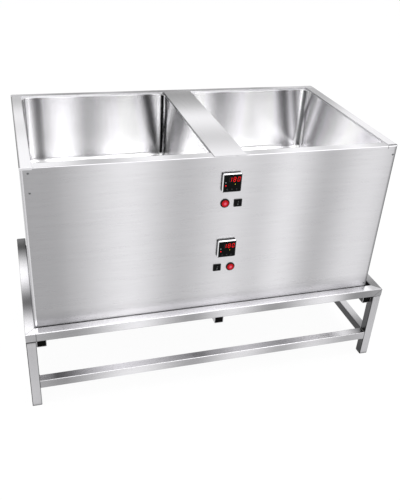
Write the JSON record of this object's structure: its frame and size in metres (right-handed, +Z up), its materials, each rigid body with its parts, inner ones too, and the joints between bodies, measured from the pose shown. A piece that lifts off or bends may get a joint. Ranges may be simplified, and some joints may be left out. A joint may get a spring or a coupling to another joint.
{
  "type": "wax dipping tank",
  "caption": "Stainless steel box tank with open rounded wells side by side, temperature controls on its front panel, standing in a low frame of square tube.",
  "frame": {"origin": "on the floor, at the middle of the footprint of the whole object", "axes": "+Z up, -Y out of the front panel with the controls, +X to the right seen from the front"},
  "size_m": [0.9926, 0.5656, 0.665],
  "materials": {
    "brushed_stainless": "brushed along the sheet",
    "mirror_stainless": "polished",
    "brushed_tube": "brushed along the tube, welds ground",
    "rivet_steel": "satin",
    "black_plug_plastic": "matte",
    "black_control_plastic": "fine satin",
    "window_plastic": "gloss with a printed display",
    "key_plastic": "satin",
    "red_lens_plastic": "gloss, lit",
    "rocker_plastic": "satin",
    "heater_silicone": "matte",
    "insulation_board": "fibrous",
    "probe_steel": "turned",
    "nut_steel": "zinc plated",
    "relay_plastic": "satin",
    "terminal_plastic": "satin",
    "gland_plastic": "satin"
  },
  "bodies": {
    "tank_on_stand": {"front_top_rail": "brushed_tube", "left_top_rail": "brushed_tube", "right_top_rail": "brushed_tube", "back_top_rail": "brushed_tube", "front_left_leg": "brushed_tube", "front_right_leg": "brushed_tube", "back_left_leg": "brushed_tube", "back_right_leg": "brushed_tube", "front_stretcher": "brushed_tube", "left_stretcher": "brushed_tube", "right_stretcher": "brushed_tube", "back_stretcher": "brushed_tube", "left_support_tube": "brushed_tube", "centre_support_tube": "brushed_tube", "right_support_tube": "brushed_tube", "front_panel": "brushed_stainless", "back_panel": "brushed_stainless", "left_side_panel": "brushed_stainless", "right_side_panel": "brushed_stainless", "base_panel": "brushed_stainless", "left_rim": "brushed_stainless", "right_rim": "brushed_stainless", "divider_cover": "brushed_stainless", "tube_plugs": "black_plug_plastic", "panel_rivets": "rivet_steel", "left_well": "mirror_stainless", "right_well": "mirror_stainless", "left_heater": "heater_silicone", "right_heater": "heater_silicone", "left_insulation": "insulation_board", "right_insulation": "insulation_board", "temperature_probes": "probe_steel", "controller_clamps": "black_control_plastic", "button_nuts": "nut_steel", "solid_state_relays": "relay_plastic", "terminal_block": "terminal_plastic", "cable_gland": "gland_plastic", "gland_nut": "gland_plastic", "upper_controller_case": "black_control_plastic", "upper_controller_window": "window_plastic", "upper_button_body": "black_control_plastic", "upper_switch_housing": "black_control_plastic", "lower_controller_case": "black_control_plastic", "lower_controller_window": "window_plastic", "lower_button_body": "black_control_plastic", "lower_switch_housing": "black_control_plastic"},
    "upper_button_cap": {"upper_button_cap": "red_lens_plastic"},
    "upper_rocker": {"upper_rocker": "rocker_plastic"},
    "upper_mode_key": {"upper_mode_key": "key_plastic"},
    "upper_down_key": {"upper_down_key": "key_plastic"},
    "upper_up_key": {"upper_up_key": "key_plastic"},
    "lower_button_cap": {"lower_button_cap": "red_lens_plastic"},
    "lower_rocker": {"lower_rocker": "rocker_plastic"},
    "lower_mode_key": {"lower_mode_key": "key_plastic"},
    "lower_down_key": {"lower_down_key": "key_plastic"},
    "lower_up_key": {"lower_up_key": "key_plastic"}
  },
  "joints": [
    {"name": "upper_button_press", "type": "slide", "parent": "tank_on_stand", "child": "upper_button_cap", "axis": [0, 1, 0], "range_m": [0, 0.0025], "stiffness_N_per_m": 500, "springref_m": -0.002},
    {"name": "upper_switch_tilt", "type": "hinge", "parent": "tank_on_stand", "child": "upper_rocker", "pos_m": [0.03665, -0.25625, 0.5385], "axis": [-1, 0, 0], "range_deg": [0, 22]},
    {"name": "upper_mode_key_press", "type": "slide", "parent": "tank_on_stand", "child": "upper_mode_key", "axis": [0, 1, 0], "range_m": [0, 0.0006], "stiffness_N_per_m": 600, "springref_m": -0.0005},
    {"name": "upper_down_key_press", "type": "slide", "parent": "tank_on_stand", "child": "upper_down_key", "axis": [0, 1, 0], "range_m": [0, 0.0006], "stiffness_N_per_m": 600, "springref_m": -0.0005},
    {"name": "upper_up_key_press", "type": "slide", "parent": "tank_on_stand", "child": "upper_up_key", "axis": [0, 1, 0], "range_m": [0, 0.0006], "stiffness_N_per_m": 600, "springref_m": -0.0005},
    {"name": "lower_button_press", "type": "slide", "parent": "tank_on_stand", "child": "lower_button_cap", "axis": [0, 1, 0], "range_m": [0, 0.0025], "stiffness_N_per_m": 500, "springref_m": -0.002},
    {"name": "lower_switch_tilt", "type": "hinge", "parent": "tank_on_stand", "child": "lower_rocker", "pos_m": [-0.00395, -0.25625, 0.3551], "axis": [-1, 0, 0], "range_deg": [0, 22]},
    {"name": "lower_mode_key_press", "type": "slide", "parent": "tank_on_stand", "child": "lower_mode_key", "axis": [0, 1, 0], "range_m": [0, 0.0006], "stiffness_N_per_m": 600, "springref_m": -0.0005},
    {"name": "lower_down_key_press", "type": "slide", "parent": "tank_on_stand", "child": "lower_down_key", "axis": [0, 1, 0], "range_m": [0, 0.0006], "stiffness_N_per_m": 600, "springref_m": -0.0005},
    {"name": "lower_up_key_press", "type": "slide", "parent": "tank_on_stand", "child": "lower_up_key", "axis": [0, 1, 0], "range_m": [0, 0.0006], "stiffness_N_per_m": 600, "springref_m": -0.0005}
  ]
}
